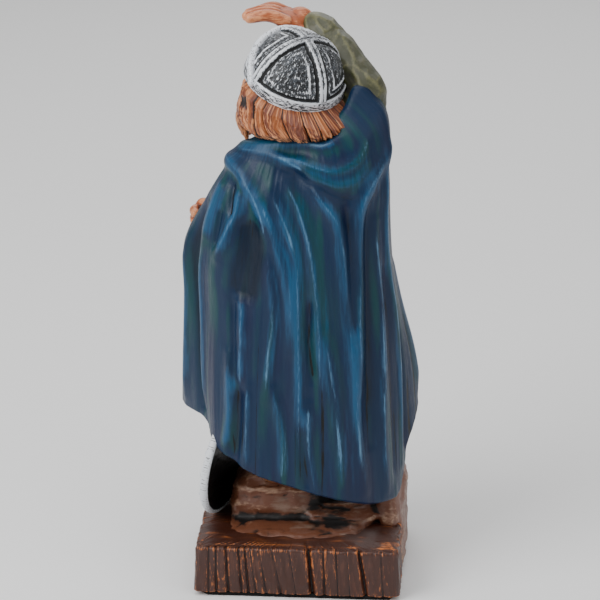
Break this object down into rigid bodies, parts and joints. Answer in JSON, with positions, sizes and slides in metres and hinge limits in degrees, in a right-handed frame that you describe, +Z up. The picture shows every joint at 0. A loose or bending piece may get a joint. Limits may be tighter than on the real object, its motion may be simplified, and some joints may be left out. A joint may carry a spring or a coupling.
{
  "type": "viking warrior statue",
  "caption": "Hand-painted resin figurine of a cloaked warrior in a domed helmet, shading the eyes with one raised hand, on a rocky base with a round shield beside the figure.",
  "frame": {"origin": "centre of the block's footprint on the underside of the felt pad, where the statue stands", "axes": "+Z up; the figure faces -Y, so the cloaked back is towards +Y; +X is the figure's left"},
  "size_m": [0.0974, 0.0757, 0.2279],
  "materials": {
    "painted_resin": "hand-painted cast resin: dark teal-blue cloak, orange-brown hair, silver-black helmet, brown rock, satin",
    "shield_paint": "cast resin painted black and dry-brushed silver",
    "felt": "thin black felt"
  },
  "bodies": {
    "root": {"figure_and_rock": "painted_resin", "shield": "shield_paint", "felt_pad": "felt"}
  },
  "joints": []
}
